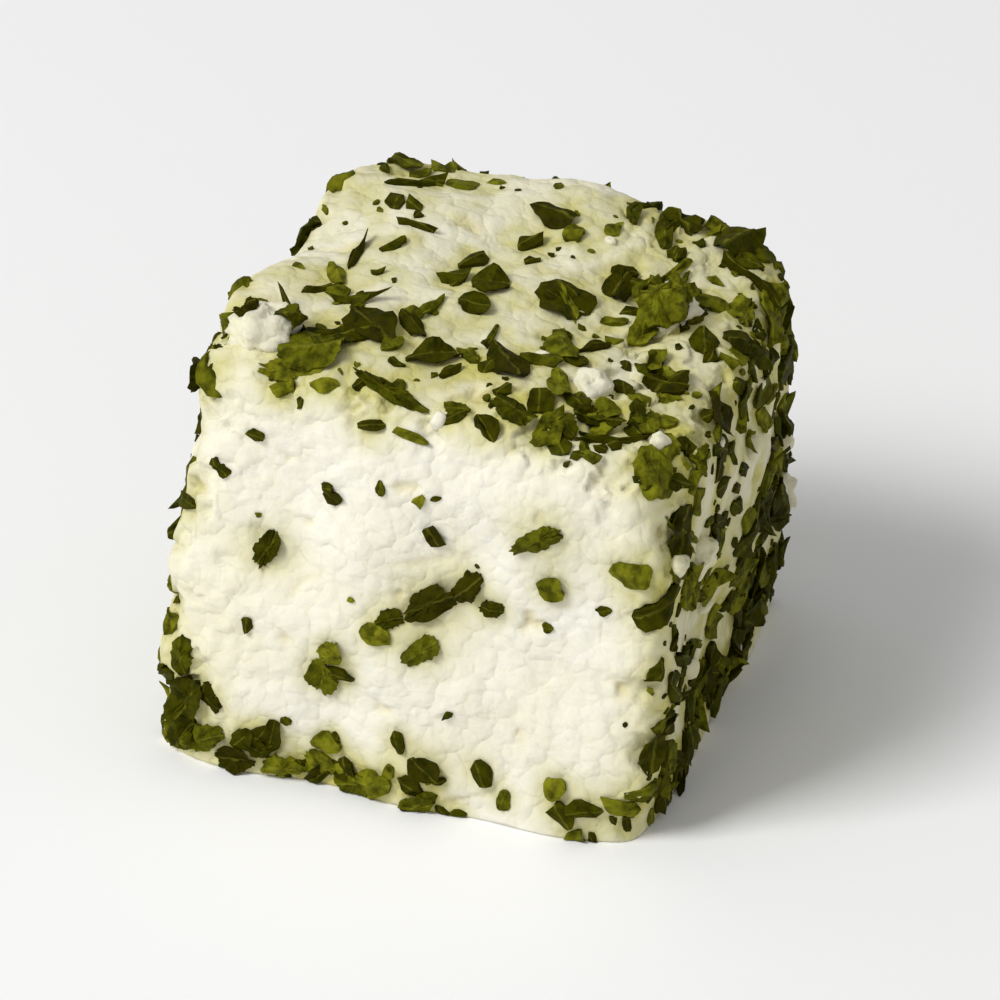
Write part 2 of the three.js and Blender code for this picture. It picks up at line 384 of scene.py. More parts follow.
cheese = feta_cheese()
block_directions, quads = cube_grid(GRID)
points = skin(block_directions)
edge, broken = breaks(block_directions, points)
bared = np.maximum(broken, RUBBLE_ON_EDGES * edge)
relief = RUBBLE_HEIGHT * bared * rubble(points, RUBBLE_SIZE, RUBBLE_SEED)
seam = np.exp(-((ripples(points, 2 * SEAM_SPACING, SEAM_LINE_SEED) / SEAM_SHARE) ** 2))
seam = seam * np.clip(ripples(points, SEAM_SPACING, SEAM_GAP_SEED), 0, 1)
relief = relief - SEAM_DEPTH * seam
pit_numbers = np.arange(FIRST_PIT, FIRST_PIT + PITS)
pit_sizes = between(PIT_SIZE, draw(pit_numbers, 9) ** 3)
stray = np.exp(PIT_STRAY * ripples(points, PIT_STRAY_SIZE, PIT_SEED))
pitted = np.zeros(len(points))
pit_lines = unit(np.cross(spread(pit_numbers), spiral(np.arange(PITS), PITS)))
pit_stretch = between(PIT_STRETCH, draw(pit_numbers, 10) ** 2)
for middle, size, line, stretch in zip(skin(spread(pit_numbers)), pit_sizes, pit_lines, pit_stretch):
    away = points - middle
    along = away @ line
    apart = np.sqrt((away**2).sum(-1) - along**2 * (1 - stretch**-2)) * stray / (size / 2)
    pitted = np.maximum(pitted, PIT_DEPTH * size * np.exp(-(apart**PIT_RIM)))
relief = (relief - pitted) * np.clip(points[:, 2] / HEM_FADE, 0, 1)
block_points = crust(block_directions) + block_directions * relief[:, None]
block_points[:, 2] = np.maximum(block_points[:, 2], 0)

block = piece("feta_block", block_points, quads.tolist(), cheese)
# Painted shade in the pits and seams: how far each point takes their darker, yellower colour.
mark(block, "painted_hollow_shade", np.clip(pitted / HOLLOW_SHADE_DEPTH + SEAM_HOLLOW_SHADE * seam, 0, 1))
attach(block, "root")
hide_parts("feta_cube")

# Crumbs: bits of the same cheese that broke off the edges and stuck on again while the cubes were
# turned in the herbs. Two stand on the top, and fine ones lie where herbs lie thick.
CRUMBS = 4
CRUMB_SIZE = (1.4 * MM, 2.2 * MM)
CRUMB_FORM = np.array([1, 0.85, 0.72])  # along the skin, across it, and out of it
CRUMB_FACETS = 11
CRUMB_FACET_AWAY = (0.7, 1.1)  # from its middle, over half its size
CRUMB_POWER = 14  # how squarely the facets meet
CRUMB_GRAIN = (0.9 * MM, 0.08)  # width of its broken curd, and its height over half the crumb's size
CRUMB_SEED = 46
CRUMB_GRID = (40, 24)  # points round it, and steps from pole to pole
FIRST_CRUMB = 500  # the place in the even spread where they begin
CRUMB_TRIES = 200  # places that are tried
BARE_HEM = 2.0 * MM  # no large flake or crumb has its middle closer to the table than this
CLUMPING = 0.5  # how much thicker or thinner than their share the herbs lie in places
CLUMP_REACH = 40 * MM  # the lumps' waves at this distance are clumps about 3 mm wide
CRUMB_COVER = 0.3  # crumbs stick where herbs cover at least this share
CRUMB_STAIN_AND_SHADE = 0.7  # how far the herbs have stained them, laid on deeper as painted warm shade, over the share that covers the face
FINE_CRUMBS = 24
FINE_CRUMB_SIZE = (0.6 * MM, 1.2 * MM)
FINE_CRUMB_GRID = (12, 8)
FIRST_FINE_CRUMB = 20000
FINE_CRUMB_TRIES = 12  # places that are tried for each
FINE_CRUMB_SHARE = 0.6  # of the places that hold one, over the share that herbs cover

# The two that stand on the top: place across and behind the middle, and size.
TOP_CRUMBS = [
    (-6.9 * MM, -6.6 * MM, 2.9 * MM),  # near the front and left corner
    (7.2 * MM, 2.6 * MM, 3.2 * MM),  # wrapped in a curled leaf
]


def face_cover(directions):
    """Share of each face that herbs cover, blended over the edges by how strongly the faces hold them."""
    held = pulls(directions, face_normals, face_away)
    return held @ face_herbs / held.sum(-1)


def herb_cover(directions):
    """Share of the cheese that herbs cover in each place: the faces' shares, gathered into clumps by the
    same lumps that shape the skin."""
    clump = np.clip(lumps(directions * CLUMP_REACH) / TALLEST_WAVE, -1, 1)
    return face_cover(directions) * (1 + CLUMPING * clump)


def ball(columns, rows):
    """Directions and faces of a sphere in rows round its axis, with one point at each pole."""
    down = np.pi * np.arange(1, rows) / rows
    turn = 2 * np.pi * np.arange(columns) / columns
    ring = np.stack(
        [
            np.outer(np.sin(down), np.cos(turn)),
            np.outer(np.sin(down), np.sin(turn)),
            np.outer(np.cos(down), np.ones(columns)),
        ],
        axis=-1,
    )
    points = np.vstack([[0, 0, 1], ring.reshape(-1, 3), [0, 0, -1]])
    return points, rounded_faces(columns, rows - 1)


def rounded_faces(columns, rings):
    """Faces of a closed form: a fan round the first point, quads from ring to ring, a fan round the last."""
    here = np.arange(columns)
    after = (here + 1) % columns
    last = 1 + columns * (rings - 1)
    faces = [(0, 1 + a, 1 + b) for a, b in zip(here, after)]
    for ring in range(rings - 1):
        start = 1 + columns * ring
        low = start + columns
        faces += [(start + a, low + a, low + b, start + b) for a, b in zip(here, after)]
    return faces + [(last + a, last + columns, last + b) for a, b in zip(here, after)]


def repeated(faces, count, size):
    """The same faces for each of many like forms that have so many points each."""
    return [[corner + size * number for corner in face] for number in range(count) for face in faces]


def crumb(direction, size, number):
    """Middle and surface of one crumb. The surface is a function of directions from that middle: flat broken
    facets joined by a power mean, squat, half sunk in the cheese, with the rubble of its curd."""
    middle = crust(direction[None])[0]
    up = outward(crust, direction[None])[0]
    first, second = sideways(up)
    turn = 2 * np.pi * draw(number, 15)
    basis = np.array(
        [np.cos(turn) * first + np.sin(turn) * second, np.cos(turn) * second - np.sin(turn) * first, up]
    )
    facet = np.arange(CRUMB_FACETS)
    normals = spiral(facet, CRUMB_FACETS)
    away = size / 2 * between(CRUMB_FACET_AWAY, draw(facet + CRUMB_FACETS * number, 14))

    def surface(directions):
        inside = unit(directions @ basis.T / CRUMB_FORM)
        held = np.maximum(0, inside @ normals.T / away) ** CRUMB_POWER
        radius = held.sum(-1) ** (-1 / CRUMB_POWER)
        rough = rubble(inside * size / 2 + number * size, CRUMB_GRAIN[0], CRUMB_SEED)
        radius = radius + CRUMB_GRAIN[1] * size / 2 * rough
        return middle + (inside * radius[..., None] * CRUMB_FORM) @ basis

    return middle, surface


def on_top(across, behind):
    """Directions from the heart to places on the top, given across and behind its middle."""
    return unit(np.stack([across, behind, np.full(len(across), HEIGHT / 2)], axis=-1))


top_crumbs = np.array(TOP_CRUMBS)
later = np.arange(FIRST_CRUMB, FIRST_CRUMB + CRUMB_TRIES)
places = spread(later)
fits = (skin(places)[:, 2] >= BARE_HEM) & (herb_cover(places) >= CRUMB_COVER)
later, places = later[fits][:CRUMBS], places[fits][:CRUMBS]
crumb_directions = np.vstack([on_top(top_crumbs[:, 0], top_crumbs[:, 1]), places])
crumb_sizes = np.concatenate([top_crumbs[:, 2], between(CRUMB_SIZE, draw(later, 6))])
crumbs = [crumb(*facts) for facts in zip(crumb_directions, crumb_sizes, range(len(crumb_sizes)))]

ball_points, ball_faces = ball(*CRUMB_GRID)
points = np.concatenate([surface(ball_points) for middle, surface in crumbs])
large_crumbs = piece("cheese_crumbs", points, repeated(ball_faces, len(crumbs), len(ball_points)), cheese)
# The large crumbs' herb stain, laid on deeper as painted warm shade.
mark(large_crumbs, "herb_stain_and_shade", np.repeat(CRUMB_STAIN_AND_SHADE * face_cover(crumb_directions), len(ball_points)))
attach(large_crumbs, "root")
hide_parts("feta_cube")

numbers = np.arange(FIRST_FINE_CRUMB, FIRST_FINE_CRUMB + FINE_CRUMB_TRIES * FINE_CRUMBS)
places = spread(numbers)
stuck = draw(numbers, 5) < FINE_CRUMB_SHARE * herb_cover(places)
stuck = stuck & (skin(places)[:, 2] > FINE_CRUMB_SIZE[1])
numbers, places = numbers[stuck][:FINE_CRUMBS], places[stuck][:FINE_CRUMBS]
sizes = between(FINE_CRUMB_SIZE, draw(numbers, 6) ** 2)
ball_points, ball_faces = ball(*FINE_CRUMB_GRID)
points = np.concatenate([crumb(*facts)[1](ball_points) for facts in zip(places, sizes, numbers)])
fine_faces = repeated(ball_faces, len(numbers), len(ball_points))
fine_crumbs = piece("fine_cheese_crumbs", points, fine_faces, cheese)
# The fine crumbs' herb stain, laid on deeper as painted warm shade.
mark(fine_crumbs, "herb_stain_and_shade", np.repeat(CRUMB_STAIN_AND_SHADE * face_cover(places), len(ball_points)))
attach(fine_crumbs, "root")

# Herb flakes: leaves dried and rubbed to flakes, then softened by the brine, so that they cling to the
# cheese, crumple, fold along their ribs and lie over one another. The front kept only a few of them.
FIRST_FLAKES = 5000  # places of the spread that are tried
LONGEST_FLAKE = 3.0 * MM
FLAKE_FALL = 60  # flakes until the length has fallen by a third
FALL_POWER = 0.55  # how fast it goes on falling
FLAKES = 370
LARGE_FLAKES = 118  # the first ones, whose outlines have more teeth
FLAKE_ASPECT = (0.4, 0.85)  # width over length
FLAKE_BULGE = 0.08  # how far its sides bulge between two corners
FLAKE_TOOTH = 0.13  # and how far the small teeth there wander
FLAKE_RIM = 0.05 * MM  # height of the rim over the cheese
FLAKE_CROWN = 0.13 * MM  # height of the middle over the cheese
FLAKE_ROOT = 0.2 * MM  # depth that is pressed into the cheese
FLAKE_THICKNESS = 0.07 * MM  # where a part of it lifts clear of the cheese
CLEAR = 0.22 * MM  # from this height on
FULL_SIZE = 2 * MM  # a shorter flake is thinner too
LEAST_SIZE = 0.2  # the thickness that the shortest keep, as a share
UNDERSIDE = 0.95  # share of the outline that the underside holds
FLAKE_CREASE = 28  # degrees between facets that meet at a sharp crease
CURLED_SHARE = 0.5  # of the flakes have an end that curls up
CURL = 0.24  # the most that it lifts, as a share of the flake's length
FOLD = 0.2  # the most that a half is turned up or down along the rib, as a share of the width
CRUMPLE = 0.045  # how far the sheet goes up and down, as a share of the length
LIE = 0.12 * MM  # the most that one lies on others
LEAST_LIFT = 0.03 * MM  # the least height over the cheese, and over the table

# The sparse front: place across and above the table, length, width, and turn in degrees.
FRONT_FLAKES = [
    (-5.9 * MM, 10.1 * MM, 2.0 * MM, 1.1 * MM, 60),
    (-2.6 * MM, 6.5 * MM, 1.4 * MM, 1.0 * MM, 50),
    (-3.1 * MM, 5.2 * MM, 1.6 * MM, 1.1 * MM, 80),
    (6.0 * MM, 13.2 * MM, 2.3 * MM, 0.9 * MM, 35),
    (1.3 * MM, 9.2 * MM, 2.4 * MM, 1.4 * MM, 30),
    (2.9 * MM, 10.2 * MM, 1.6 * MM, 1.1 * MM, 45),
    (3.9 * MM, 9.4 * MM, 1.2 * MM, 0.8 * MM, 0),
    (-0.4 * MM, 8.2 * MM, 1.3 * MM, 0.7 * MM, 20),
    (1.0 * MM, 7.1 * MM, 1.7 * MM, 1.1 * MM, 40),
    (-8.9 * MM, 2.7 * MM, 2.4 * MM, 1.7 * MM, 70),
]

# The clump at the front's lower left corner and the band along the foot of its left half: place across
# and above the table, length, width, and turn in degrees.
FOOT_FLAKES = [
    (-9.2 * MM, 4.6 * MM, 1.6 * MM, 1.1 * MM, 100),
    (-8.1 * MM, 1.4 * MM, 2.0 * MM, 1.3 * MM, 20),
    (-9.1 * MM, 1.0 * MM, 1.7 * MM, 1.1 * MM, 60),
    (-7.6 * MM, 3.4 * MM, 1.3 * MM, 0.8 * MM, 130),
    (-6.4 * MM, 1.0 * MM, 1.8 * MM, 1.1 * MM, 10),
    (-5.6 * MM, 1.7 * MM, 1.2 * MM, 0.8 * MM, 150),
    (-4.7 * MM, 0.9 * MM, 1.9 * MM, 0.9 * MM, 5),
    (-3.3 * MM, 1.1 * MM, 1.5 * MM, 1.0 * MM, 165),
    (-1.5 * MM, 0.9 * MM, 1.9 * MM, 1.0 * MM, 12),
    (0.9 * MM, 0.8 * MM, 1.4 * MM, 0.9 * MM, 20),
]

# The clump beside the corner crumb and the flakes along the top's front edge: place across and behind
# the middle, length, width, and turn in degrees.
TOP_FLAKES = [
    (-4.6 * MM, -7.3 * MM, 2.8 * MM, 1.8 * MM, 15),
    (-5.6 * MM, -8.7 * MM, 2.4 * MM, 1.1 * MM, 5),
    (-3.9 * MM, -5.9 * MM, 2.2 * MM, 1.4 * MM, 40),
    (-1.3 * MM, -8.6 * MM, 3.2 * MM, 0.7 * MM, -6),
    (1.9 * MM, -8.9 * MM, 1.0 * MM, 0.7 * MM, 10),
    (4.4 * MM, -8.4 * MM, 2.0 * MM, 0.9 * MM, -20),
    (6.4 * MM, -8.2 * MM, 1.5 * MM, 0.9 * MM, 30),
    (7.9 * MM, -7.2 * MM, 2.2 * MM, 1.0 * MM, 15),
]

# The leaves that stick to the two crumbs on the top: which crumb, the way from its middle, length, width,
# and turn in degrees. They lie on a form that is wider than the crumb, clear of its grain.
WRAP = 1.08
FIRST_CRUMB_FLAKE = 6185  # the number that their draws begin with
CRUMB_FLAKES = [
    (0, (-0.5, -0.2, 0.85), 0.9 * MM, 0.6 * MM, 30),
    (0, (0.75, 0.1, 0.6), 1.6 * MM, 1.1 * MM, 60),
    (1, (-0.2, -0.4, 0.9), 3.3 * MM, 2.6 * MM, 20),
    (1, (0.6, -0.1, 0.8), 2.3 * MM, 1.6 * MM, 100),
    (1, (0.1, -0.95, 0.3), 1.8 * MM, 1.2 * MM, 10),
    (1, (-0.8, 0.1, 0.5), 1.6 * MM, 1.1 * MM, 45),
]

# The hem that lay deepest in the herbs, close above the table all round.
HEM_FLAKES = 320  # places round it that are tried
FIRST_HEM_FLAKE = 7000
HEM_HEIGHT = (0.3 * MM, 2.6 * MM)
HEM_CROWDING = 1.5  # a higher power crowds them closer to the table
HEM_LENGTH = (0.7 * MM, 1.9 * MM)
HEM_COVER = 0.4  # share of the places that hold a flake, over what the face above them holds
HEM_ABOVE = 5 * MM  # where that face's share is read


def leaves(surface, heart, directions, length, width, turn, seed, sides, jag, teeth, shares):
    """Points and faces of thin closed flakes, one for each direction from the heart of a surface, and each
    point's place across its leaf, from its rib. The torn outline has corners that stray by the jag, with
    teeth between them. Rings that hold shares of it are laid on the surface, and rise over it by the crown,
    the fold, the curl, the crumple and what the flake lies on. The underside goes into the cheese, or hangs
    under a clear part."""
    columns = sides * (teeth + 1)
    length, width, turn = length[:, None], width[:, None], turn[:, None]
    middle = surface(directions)
    up = outward(surface, directions)
    right, ahead = sideways(up)

    corner = np.arange(sides)
    angle = 2 * np.pi * corner / sides
    tear = 1 + jag * (2 * draw(seed[:, None] * sides + corner, 4) - 1)
    corners = np.stack([np.cos(angle) * tear, np.sin(angle) * tear], axis=-1)
    steps = np.arange(teeth + 1) / (teeth + 1)
    torn = corners[:, :, None] + (np.roll(corners, -1, axis=1) - corners)[:, :, None] * steps[:, None]
    torn = torn.reshape(len(seed), columns, 2)
    column = np.arange(columns)
    tooth = FLAKE_BULGE + FLAKE_TOOTH * (2 * draw(seed[:, None] * columns + column, 7) - 1)
    torn = torn * (1 + tooth * (column % (teeth + 1) > 0))[..., None]

    size = np.minimum(1, length / FULL_SIZE + LEAST_SIZE)
    fold = FOLD * width * (2 * draw(seed, 15)[:, None] - 1)
    curl = CURL * length * np.maximum(0, 1 - draw(seed, 11)[:, None] / CURLED_SHARE)
    end = np.where(draw(seed, 12) < 0.5, -1, 1)[:, None]
    lie = LIE * size * draw(seed, 16)[:, None]
    around = 2 * np.pi * column / columns
    waves = np.sin(2 * around + 2 * np.pi * draw(seed, 17)[:, None])
    waves = waves + np.sin(3 * around + 2 * np.pi * draw(seed, 18)[:, None])

    def laid(share, height):
        along = torn[..., 0] * share * length / 2
        across = torn[..., 1] * share * width / 2
        x = along * np.cos(turn) - across * np.sin(turn)
        y = along * np.sin(turn) + across * np.cos(turn)
        level = middle[:, None] + right[:, None] * x[..., None] + ahead[:, None] * y[..., None]
        return surface(unit(level - heart)) + up[:, None] * height[..., None]

    rings, asides = [], []
    for number, share in enumerate(shares):
        along, across = torn[..., 0] * share, np.abs(torn[..., 1] * share)
        height = size * (FLAKE_CROWN * (1 - share**2) + FLAKE_RIM * share**2) + lie
        height = height + np.where(fold > 0, fold * across, -fold * (1 - across))
        height = height + curl * np.maximum(0, along * end) ** 2
        crumple = waves * share + draw(seed[:, None] * columns + column, 20 + number) - 0.5
        height = np.maximum(height + CRUMPLE * length * crumple, LEAST_LIFT)
        rings.append(laid(share, height))
        asides.append(torn[..., 1] * share)
    under = np.where(height > CLEAR, height - FLAKE_THICKNESS, -FLAKE_ROOT / 2)
    rings.append(laid(UNDERSIDE, under))
    asides.append(torn[..., 1])
    crown = middle + up * (size * FLAKE_CROWN + lie + np.maximum(0, -fold))
    root = middle - up * FLAKE_ROOT
    points = np.concatenate([crown[:, None], *rings, root[:, None]], axis=1)
    points[..., 2] = np.maximum(points[..., 2], LEAST_LIFT)
    centre = np.zeros((len(seed), 1))
    asides = np.concatenate([centre, *asides, centre], axis=1)
    return points, rounded_faces(columns, len(rings)), asides, seed


def herb_piece(name, groups, material):
    """One piece of several groups of leaves, which keeps each leaf's tint and its points' places on it."""
    faces, start = [], 0
    for points, leaf_faces, across, seed in groups:
        each = repeated(leaf_faces, len(points), points.shape[1])
        faces += [[start + corner for corner in face] for face in each]
        start += points.shape[0] * points.shape[1]
    points = np.concatenate([group[0].reshape(-1, 3) for group in groups])
    across = np.concatenate([group[2].reshape(-1) for group in groups])
    tints = np.concatenate([np.repeat(draw(group[3], 8), group[0].shape[1]) for group in groups])
    made = piece(name, points, faces, material, crease=FLAKE_CREASE)
    mark(made, "leaf_tint", tints)
    mark(made, "leaf_across", across)
    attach(made, "root")
    return made


def dried_herbs():
    """Dried parsley-like leaf, rubbed to flakes and wetted again: deep olive green, darker or yellower from
    flake to flake, mottled and wrinkled, with a faint paler rib and almost no gloss."""
    dark = linear("#363200")
    green = linear("#4E5200")
    pale = linear("#7F7F1A")
    mottle = linear("#212400")
    rib = linear("#86852C")
    mottle_size = 0.5 * MM
    wrinkle_size = 0.28 * MM
    material = bpy.data.materials.new("dried_herbs")
    material.use_nodes = True
    tree = material.node_tree
    tree.nodes.clear()
    place = add(tree, "TexCoord", {}).outputs["Object"]
    tint = add(tree, "Attribute", {}, attribute_name="leaf_tint").outputs["Fac"]
    across = add(tree, "Attribute", {}, attribute_name="leaf_across").outputs["Fac"]
    mottles = add(tree, "TexNoise", {"Vector": place, "Scale": 1 / mottle_size, "Detail": 4.0})
    wrinkles = add(tree, "TexNoise", {"Vector": place, "Scale": 1 / wrinkle_size, "Detail": 3.0})
    lighter = add(tree, "MapRange", {"Value": tint, "From Min": 0.55, "From Max": 1.0})
    darker = add(
        tree, "MapRange", {"Value": mottles.outputs["Fac"], "From Min": 0.6, "From Max": 0.35, "To Max": 0.75}
    )
    strayed = add(tree, "Math", {0: mottles.outputs["Fac"], 1: 0.5, 2: across}, operation="MULTIPLY_ADD")
    aside = add(tree, "Math", {0: strayed.outputs[0], 1: -0.25}, operation="ADD")
    aside = add(tree, "Math", {0: aside.outputs[0]}, operation="ABSOLUTE")
    ribbed = add(
        tree, "MapRange", {"Value": aside.outputs[0], "From Min": 0.12, "From Max": 0.03, "To Max": 0.4}
    )
    colour = add(tree, "Mix", {0: tint, 6: dark, 7: green}, data_type="RGBA")
    colour = add(tree, "Mix", {0: lighter.outputs[0], 6: colour.outputs[2], 7: pale}, data_type="RGBA")
    colour = add(tree, "Mix", {0: ribbed.outputs[0], 6: colour.outputs[2], 7: rib}, data_type="RGBA")
    colour = add(tree, "Mix", {0: darker.outputs[0], 6: colour.outputs[2], 7: mottle}, data_type="RGBA")
    gloss = add(
        tree, "MapRange", {"Value": wrinkles.outputs["Fac"], "From Min": 0.3, "To Min": 0.45, "To Max": 0.8}
    )
    bump = add(tree, "Bump", {"Height": wrinkles.outputs["Fac"], "Strength": 1.0, "Distance": 0.12 * MM})
    shader = add(
        tree,
        "BsdfPrincipled",
        {
            "Base Color": colour.outputs[2],
            "Roughness": gloss.outputs[0],
            "Normal": bump.outputs[0],
            "IOR": 1.4,
            "Specular IOR Level": 0.04,
        },
    )
    add(tree, "OutputMaterial", {"Surface": shader.outputs[0]})
    return material


def on_front(across, above):
    """Directions from the heart to places on the front, given across it and above the table."""
    return unit(np.stack([across, np.full(len(across), -DEPTH / 2), above - HEIGHT / 2], axis=-1))


herbs = dried_herbs()
tried = np.arange(FIRST_FLAKES)
places = spread(tried)
kept = (skin(places)[:, 2] >= BARE_HEM) & (draw(tried, 5) <= herb_cover(places))
seeds, places = tried[kept][:FLAKES], places[kept][:FLAKES]
lengths = LONGEST_FLAKE / (1 + np.arange(len(seeds)) / FLAKE_FALL) ** FALL_POWER
widths = lengths * between(FLAKE_ASPECT, draw(seeds, 2))
turns = 2 * np.pi * draw(seeds, 3)

front = np.array(FRONT_FLAKES + FOOT_FLAKES)
top = np.array(TOP_FLAKES)
placed = (
    np.vstack([on_front(*front[:, :2].T), on_top(*top[:, :2].T)]),
    np.concatenate([front[:, 2], top[:, 2]]),
    np.concatenate([front[:, 3], top[:, 3]]),
    np.radians(np.concatenate([front[:, 4], top[:, 4]])),
    -1 - np.arange(len(front) + len(top)),
)
large = [facts[:LARGE_FLAKES] for facts in (places, lengths, widths, turns, seeds)]

hem_seeds = np.arange(FIRST_HEM_FLAKE, FIRST_HEM_FLAKE + HEM_FLAKES)
hem_turn = hem_seeds * GOLDEN_ANGLE
hem_round = np.stack([np.cos(hem_turn), np.sin(hem_turn)], axis=-1)
hem_round = hem_round / np.abs(hem_round).max(-1, keepdims=True) * np.array([WIDTH, DEPTH]) / 2
hem_above = unit(np.column_stack([hem_round, np.full(HEM_FLAKES, HEM_ABOVE - HEIGHT / 2)]))
hem_kept = draw(hem_seeds, 5) <= HEM_COVER + herb_cover(hem_above)
hem_seeds, hem_round = hem_seeds[hem_kept], hem_round[hem_kept]
hem_height = between(HEM_HEIGHT, draw(hem_seeds, 20) ** HEM_CROWDING)
hem_lengths = between(HEM_LENGTH, draw(hem_seeds, 21) ** 2)
hem = (
    unit(np.column_stack([hem_round, hem_height - HEIGHT / 2])),
    hem_lengths,
    hem_lengths * between(FLAKE_ASPECT, draw(hem_seeds, 2)),
    2 * np.pi * draw(hem_seeds, 3),
    hem_seeds,
)
rest = [facts[LARGE_FLAKES:] for facts in (places, lengths, widths, turns, seeds)]
small = [np.concatenate(pair) for pair in zip(rest, hem)]

placed_form = {"sides": 7, "jag": 0.24, "teeth": 5, "shares": (0.3, 0.6, 0.85, 1.0)}
large_form = {"sides": 7, "jag": 0.24, "teeth": 2, "shares": (0.45, 0.8, 1.0)}
small_form = {"sides": 7, "jag": 0.32, "teeth": 1, "shares": (0.6, 1.0)}
groups = [
    leaves(crust, HEART, *placed, **placed_form),
    leaves(crust, HEART, *large, **large_form),
    leaves(crust, HEART, *small, **small_form),
]
for number, (on, towards, length, width, turn) in enumerate(CRUMB_FLAKES):
    middle = crumbs[on][0]
    clear = crumb(crumb_directions[on], WRAP * crumb_sizes[on], on)[1]
    facts = unit(np.array([towards])), np.array([length]), np.array([width]), np.radians([turn])
    groups.append(leaves(clear, middle, *facts, np.array([FIRST_CRUMB_FLAKE + number]), **placed_form))
flakes = herb_piece("herb_flakes", groups, herbs)
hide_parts("feta_cube")

# Stain and painted shade: where the moist cheese lies under herbs, the brine carries their yellow green a
# little way into it, deepest where many flakes lie close together. It is laid on deeper than that, as painted
# warm shade, most where herbs cover most. It is a colour of the block alone.
STAIN_AND_SHADE_REACH = (0.5, 0.15 * MM)  # over the flake's length, and further
STAIN_AND_SHADE = 0.9  # the deepest it gets under one flake
STAIN_AND_SHADE_DUST = 1.6  # what the finest dust adds, and with it painted warm shade, over the share that herbs cover
STAIN_AND_SHADE_MOST = 0.95  # the deepest in all
stain_and_shade = STAIN_AND_SHADE_DUST * herb_cover(block_directions)
stain_and_shade_middles = skin(np.vstack([placed[0], large[0], small[0]]))
stain_and_shade_reach = STAIN_AND_SHADE_REACH[0] * np.concatenate([placed[1], large[1], small[1]]) + STAIN_AND_SHADE_REACH[1]
for middle, reach in zip(stain_and_shade_middles, stain_and_shade_reach):
    apart = np.linalg.norm(block_points - middle, axis=-1) / reach
    stain_and_shade = stain_and_shade + STAIN_AND_SHADE * np.exp(-(apart**2))
# The stain is laid on deeper than the herbs alone would stain the cheese, as painted warm shade.
mark(block, "herb_stain_and_shade", STAIN_AND_SHADE_MOST * (1 - np.exp(-stain_and_shade / STAIN_AND_SHADE_MOST)))

# Herb bits: the crumbs and dust of the same rubbed leaves. They gather in clumps between the flakes and
# along the edges, where the cheese is moist, and a few dot the front.
BITS = 660
FIRST_BIT = 30000  # the place in the even spread where they begin
BIT_LENGTH = (0.25 * MM, 1.1 * MM)
BIT_ASPECT = (0.5, 0.95)
BIT_CLUMP = 2.4 * MM  # width of their clumps
BIT_SHARE = 0.45  # of the places that hold one, over the share that herbs cover
BIT_CLUMPING = 0.8  # how much that goes up and down from clump to clump
BIT_MOST = 1.4
BIT_SEED = 50
BIT_TRIES = 16  # places that are tried for each
BIT_HEM = 0.4 * MM  # none has its middle closer to the table

# Those on the front: place across and above the table, and length.
FIRST_SPECK = 6200  # the number that their draws begin with
FRONT_SPECKS = [
    (-6.8 * MM, 15.3 * MM, 0.8 * MM),
    (-8.3 * MM, 13.4 * MM, 1.0 * MM),
    (-3.3 * MM, 13.5 * MM, 0.7 * MM),
    (-0.8 * MM, 14.0 * MM, 0.7 * MM),
    (1.5 * MM, 14.0 * MM, 0.4 * MM),
    (-6.2 * MM, 6.8 * MM, 0.7 * MM),
    (-4.5 * MM, 3.0 * MM, 0.5 * MM),
    (8.9 * MM, 10.3 * MM, 0.7 * MM),
    (6.4 * MM, 9.0 * MM, 0.5 * MM),
    (2.1 * MM, 4.6 * MM, 0.5 * MM),
]

bit_form = {"sides": 7, "jag": 0.36, "teeth": 0, "shares": (1.0,)}
tried = np.arange(FIRST_BIT, FIRST_BIT + BIT_TRIES * BITS)
places = spread(tried)
gathered = BIT_SHARE + BIT_CLUMPING * ripples(skin(places), BIT_CLUMP, BIT_SEED)
gathered = np.clip(gathered, 0, BIT_MOST)
kept = (skin(places)[:, 2] >= BIT_HEM) & (draw(tried, 5) <= herb_cover(places) * gathered)
specks = np.array(FRONT_SPECKS)
speck_seeds = FIRST_SPECK + np.arange(len(specks))
bit_seeds, places = tried[kept][:BITS], places[kept][:BITS]
groups = []
for directions, lengths, seeds, form in (
    (on_front(*specks[:, :2].T), specks[:, 2], speck_seeds, large_form),
    (places, between(BIT_LENGTH, draw(bit_seeds, 6) ** 2), bit_seeds, bit_form),
):
    widths = lengths * between(BIT_ASPECT, draw(seeds, 2))
    turns = 2 * np.pi * draw(seeds, 3)
    groups.append(leaves(crust, HEART, directions, lengths, widths, turns, seeds, **form))
herb_piece("herb_bits", groups, herbs)

# Slivers: leaf stalks and leaves torn lengthwise when the dry herbs were rubbed. They are thin and stiff,
# and lie any way among the flakes, held by the same moist cheese.
SLIVERS = 70
FIRST_SLIVER = 90000  # the place in the even spread where they begin
SLIVER_TRIES = 10  # places that are tried for each
SLIVER_LENGTH = (1.6 * MM, 3.2 * MM)
SLIVER_WIDTH = (0.28 * MM, 0.5 * MM)

tried = np.arange(FIRST_SLIVER, FIRST_SLIVER + SLIVER_TRIES * SLIVERS)
places = spread(tried)
kept = (skin(places)[:, 2] >= BARE_HEM) & (draw(tried, 5) <= herb_cover(places))
seeds, places = tried[kept][:SLIVERS], places[kept][:SLIVERS]
slivers = (
    places,
    between(SLIVER_LENGTH, draw(seeds, 6)),
    between(SLIVER_WIDTH, draw(seeds, 2)),
    2 * np.pi * draw(seeds, 3),
    seeds,
)
herb_piece("herb_slivers", [leaves(crust, HEART, *slivers, **small_form)], herbs)

